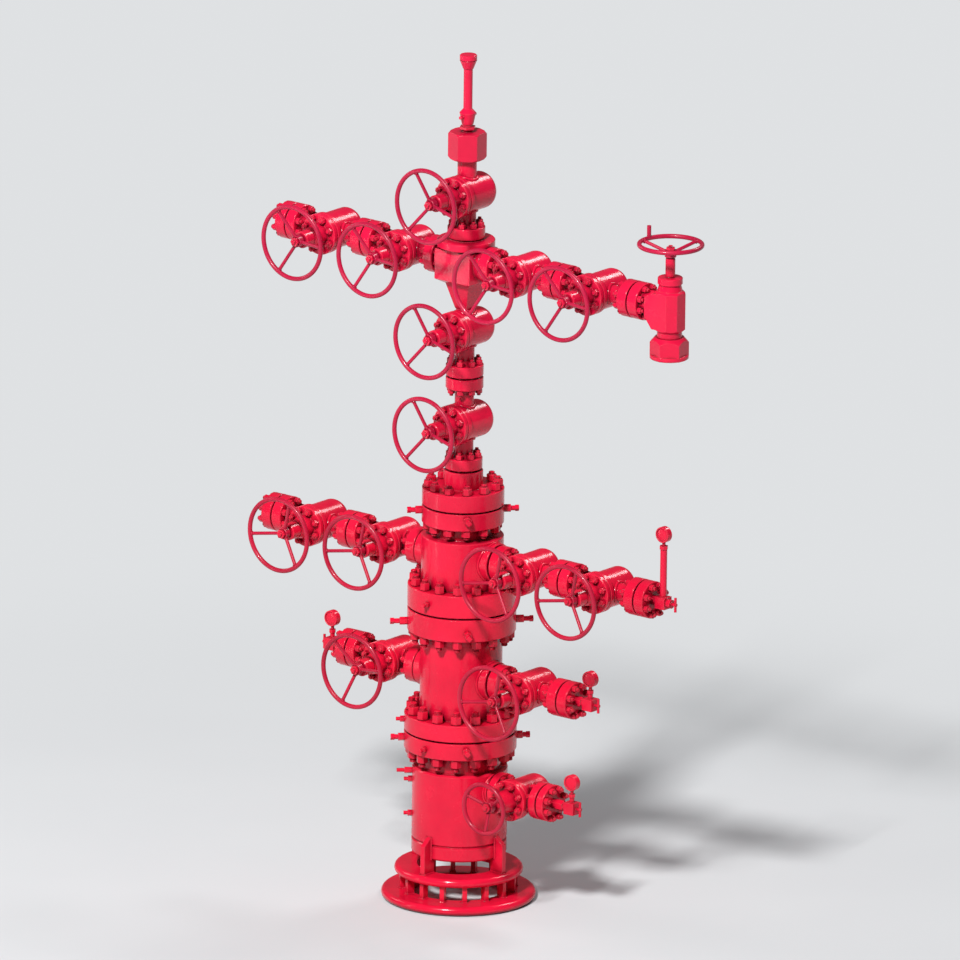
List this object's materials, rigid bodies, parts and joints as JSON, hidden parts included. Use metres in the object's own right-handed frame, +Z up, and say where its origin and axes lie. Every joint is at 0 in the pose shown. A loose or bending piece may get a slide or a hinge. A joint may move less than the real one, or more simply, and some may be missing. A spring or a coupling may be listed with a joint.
{
  "type": "oil wellhead valve stack",
  "caption": "Wellhead with its production tree: stacked heads on a landing base, gate valves with turning handwheels on every outlet, a cross with two wings and a choke.",
  "frame": {"origin": "middle of the landing base's underside, on the vertical bore's axis", "axes": "+Z up along the vertical bore, +X along the wing that carries the choke, and the handwheels face -Y"},
  "size_m": [2.782, 0.8018, 4.512],
  "materials": {
    "red_paint": "gloss",
    "wheel_paint": "gloss"
  },
  "bodies": {
    "stack": {"base_ring": "red_paint", "base_cage": "red_paint", "casing_head": "red_paint", "casing_spool": "red_paint", "tubing_head": "red_paint", "adapter_flange": "red_paint", "lower_master_valve": "red_paint", "upper_master_valve": "red_paint", "swab_valve": "red_paint", "left_inner_wing_valve": "red_paint", "left_outer_wing_valve": "red_paint", "right_inner_wing_valve": "red_paint", "right_outer_wing_valve": "red_paint", "left_inner_tubing_valve": "red_paint", "left_outer_tubing_valve": "red_paint", "right_inner_tubing_valve": "red_paint", "right_outer_tubing_valve": "red_paint", "left_casing_valve": "red_paint", "right_casing_valve": "red_paint", "casing_head_valve": "red_paint", "cross": "red_paint", "tree_cap": "red_paint", "tree_bonnets": "red_paint", "outlet_bonnets": "red_paint", "choke_body": "red_paint", "choke_union": "red_paint", "end_flanges": "red_paint", "needle_valves": "red_paint", "gauges": "red_paint", "screws_and_plugs": "red_paint"},
    "lower_master_wheel": {"lower_master_wheel": "wheel_paint"},
    "upper_master_wheel": {"upper_master_wheel": "wheel_paint"},
    "swab_wheel": {"swab_wheel": "wheel_paint"},
    "left_inner_wing_wheel": {"left_inner_wing_wheel": "wheel_paint"},
    "left_outer_wing_wheel": {"left_outer_wing_wheel": "wheel_paint"},
    "right_inner_wing_wheel": {"right_inner_wing_wheel": "wheel_paint"},
    "right_outer_wing_wheel": {"right_outer_wing_wheel": "wheel_paint"},
    "left_inner_tubing_wheel": {"left_inner_tubing_wheel": "wheel_paint"},
    "left_outer_tubing_wheel": {"left_outer_tubing_wheel": "wheel_paint"},
    "right_inner_tubing_wheel": {"right_inner_tubing_wheel": "wheel_paint"},
    "right_outer_tubing_wheel": {"right_outer_tubing_wheel": "wheel_paint"},
    "left_casing_wheel": {"left_casing_wheel": "wheel_paint"},
    "right_casing_wheel": {"right_casing_wheel": "wheel_paint"},
    "casing_head_wheel": {"casing_head_wheel": "wheel_paint"},
    "choke_wheel": {"choke_wheel": "wheel_paint"}
  },
  "joints": [
    {"name": "lower_master_turn", "type": "hinge", "parent": "stack", "child": "lower_master_wheel", "pos_m": [0, -0.336, 2.549], "axis": [0, -1, 0], "continuous": true},
    {"name": "upper_master_turn", "type": "hinge", "parent": "stack", "child": "upper_master_wheel", "pos_m": [0, -0.336, 3.047], "axis": [0, -1, 0], "continuous": true},
    {"name": "swab_turn", "type": "hinge", "parent": "stack", "child": "swab_wheel", "pos_m": [0, -0.336, 3.769], "axis": [0, -1, 0], "continuous": true},
    {"name": "left_inner_wing_turn", "type": "hinge", "parent": "stack", "child": "left_inner_wing_wheel", "pos_m": [-0.383, -0.336, 3.413], "axis": [0, -1, 0], "continuous": true},
    {"name": "left_outer_wing_turn", "type": "hinge", "parent": "stack", "child": "left_outer_wing_wheel", "pos_m": [-0.881, -0.336, 3.413], "axis": [0, -1, 0], "continuous": true},
    {"name": "right_inner_wing_turn", "type": "hinge", "parent": "stack", "child": "right_inner_wing_wheel", "pos_m": [0.383, -0.336, 3.413], "axis": [0, -1, 0], "continuous": true},
    {"name": "right_outer_wing_turn", "type": "hinge", "parent": "stack", "child": "right_outer_wing_wheel", "pos_m": [0.881, -0.336, 3.413], "axis": [0, -1, 0], "continuous": true},
    {"name": "left_inner_tubing_turn", "type": "hinge", "parent": "stack", "child": "left_inner_tubing_wheel", "pos_m": [-0.453, -0.336, 1.832], "axis": [0, -1, 0], "continuous": true},
    {"name": "left_outer_tubing_turn", "type": "hinge", "parent": "stack", "child": "left_outer_tubing_wheel", "pos_m": [-0.951, -0.336, 1.832], "axis": [0, -1, 0], "continuous": true},
    {"name": "right_inner_tubing_turn", "type": "hinge", "parent": "stack", "child": "right_inner_tubing_wheel", "pos_m": [0.453, -0.336, 1.832], "axis": [0, -1, 0], "continuous": true},
    {"name": "right_outer_tubing_turn", "type": "hinge", "parent": "stack", "child": "right_outer_tubing_wheel", "pos_m": [0.951, -0.336, 1.832], "axis": [0, -1, 0], "continuous": true},
    {"name": "left_casing_turn", "type": "hinge", "parent": "stack", "child": "left_casing_wheel", "pos_m": [-0.453, -0.336, 1.195], "axis": [0, -1, 0], "continuous": true},
    {"name": "right_casing_turn", "type": "hinge", "parent": "stack", "child": "right_casing_wheel", "pos_m": [0.453, -0.336, 1.195], "axis": [0, -1, 0], "continuous": true},
    {"name": "casing_head_turn", "type": "hinge", "parent": "stack", "child": "casing_head_wheel", "pos_m": [0.414, -0.316, 0.616], "axis": [0, -1, 0], "continuous": true},
    {"name": "choke_turn", "type": "hinge", "parent": "stack", "child": "choke_wheel", "pos_m": [1.344, 0, 3.745], "axis": [0, 0, 1], "continuous": true}
  ]
}
